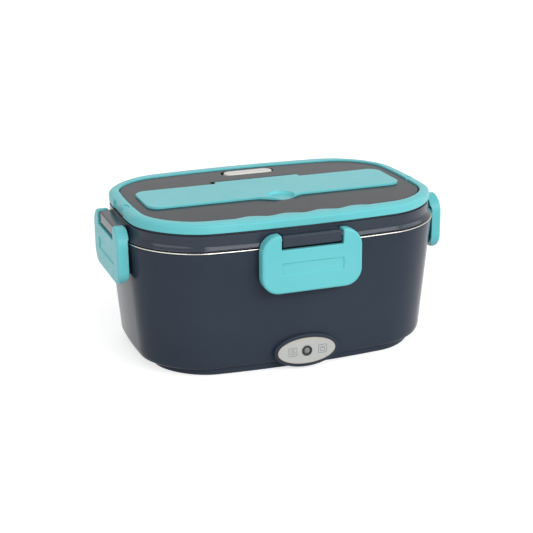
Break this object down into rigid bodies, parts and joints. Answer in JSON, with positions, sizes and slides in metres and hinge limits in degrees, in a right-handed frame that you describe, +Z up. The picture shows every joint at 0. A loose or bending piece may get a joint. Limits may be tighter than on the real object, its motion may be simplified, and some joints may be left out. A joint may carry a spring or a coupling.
{
  "type": "electric lunch box",
  "caption": "Heated lunch box with a lift-out steel pot, latched lid with fold-up handle, cutlery compartment and steam plug.",
  "frame": {"origin": "middle of the footprint, on the ground under the rubber feet", "axes": "+X to the right along the long side, +Y to the back, +Z up; the indicator plate faces -Y"},
  "size_m": [0.2376, 0.1706, 0.1098],
  "materials": {
    "slate_plastic": "gloss moulded polypropylene",
    "panel_plastic": "gloss moulded polypropylene",
    "turquoise_plastic": "satin gloss moulded polypropylene",
    "stainless": "drawn stainless sheet",
    "zinc_steel": "zinc plated",
    "aluminium": "stamped",
    "silver_print": "silver printed",
    "black_plastic": "satin",
    "black_rubber": "matt",
    "silicone": "satin",
    "lens": "smoked",
    "circuit_board": "solder resist",
    "brass": "nickel free",
    "ceramic": "glazed",
    "wire_insulation": "silicone sleeving"
  },
  "bodies": {
    "base": {"outer_shell": "slate_plastic", "base_cover": "slate_plastic", "base_screws": "zinc_steel", "rubber_feet": "black_rubber", "inner_liner": "slate_plastic", "heating_plate": "aluminium", "ptc_heater": "zinc_steel", "heater_clamp": "zinc_steel", "clamp_screws": "zinc_steel", "thermostat": "aluminium", "thermal_fuse": "ceramic", "wiring": "wire_insulation", "indicator_plate": "silver_print", "lamp_bezel": "black_plastic", "lamp_lens": "lens", "led_board": "circuit_board", "power_inlet": "black_plastic", "inlet_pins": "brass", "inlet_hinge_pin": "zinc_steel"},
    "inlet_cover": {"inlet_cover": "black_rubber"},
    "pot": {"steel_pot": "stainless"},
    "lid": {"lid_shell": "slate_plastic", "lid_liner": "slate_plastic", "lid_seal": "silicone", "lid_top_panel": "panel_plastic", "rear_trim": "turquoise_plastic", "handle_pins": "zinc_steel", "cover_hinge_pin": "zinc_steel"},
    "handle": {"handle": "turquoise_plastic"},
    "cutlery_cover": {"cutlery_cover": "turquoise_plastic"},
    "vent_plug": {"vent_plug": "silicone"},
    "latch_front": {"latch_front": "turquoise_plastic", "latch_pin_front": "zinc_steel"},
    "latch_back": {"latch_back": "turquoise_plastic", "latch_pin_back": "zinc_steel"},
    "latch_left": {"latch_left": "turquoise_plastic", "latch_pin_left": "zinc_steel"},
    "latch_right": {"latch_right": "turquoise_plastic", "latch_pin_right": "zinc_steel"}
  },
  "joints": [
    {"name": "lid_lift", "type": "slide", "parent": "base", "child": "lid", "axis": [0, 0, 1], "range_m": [0, 0.16]},
    {"name": "pot_lift", "type": "slide", "parent": "base", "child": "pot", "axis": [0, 0, 1], "range_m": [0, 0.08]},
    {"name": "latch_front_swing", "type": "hinge", "parent": "lid", "child": "latch_front", "pos_m": [0, -0.0811, 0.0958], "axis": [-1, 0, 0], "range_deg": [0, 115]},
    {"name": "latch_back_swing", "type": "hinge", "parent": "lid", "child": "latch_back", "pos_m": [0, 0.0811, 0.0958], "axis": [1, 0, 0], "range_deg": [0, 115]},
    {"name": "latch_left_swing", "type": "hinge", "parent": "lid", "child": "latch_left", "pos_m": [-0.1146, 0, 0.0958], "axis": [0, 1, 0], "range_deg": [0, 115]},
    {"name": "latch_right_swing", "type": "hinge", "parent": "lid", "child": "latch_right", "pos_m": [0.1146, 0, 0.0958], "axis": [0, -1, 0], "range_deg": [0, 115]},
    {"name": "handle_swing", "type": "hinge", "parent": "lid", "child": "handle", "pos_m": [0, -0.009, 0.1059], "axis": [-1, 0, 0], "range_deg": [0, 90]},
    {"name": "cutlery_cover_swing", "type": "hinge", "parent": "lid", "child": "cutlery_cover", "pos_m": [0, 0.026, 0.1069], "axis": [-1, 0, 0], "range_deg": [0, 110]},
    {"name": "vent_plug_lift", "type": "slide", "parent": "lid", "child": "vent_plug", "axis": [0, 0, 1], "range_m": [0, 0.018]},
    {"name": "inlet_cover_swing", "type": "hinge", "parent": "base", "child": "inlet_cover", "pos_m": [0, 0.075, 0.0259], "axis": [1, 0, 0], "range_deg": [0, 120]}
  ],
  "couplings": [
    {"joint": "pot_lift", "follows": "lid_lift", "ratio": 0.5}
  ]
}
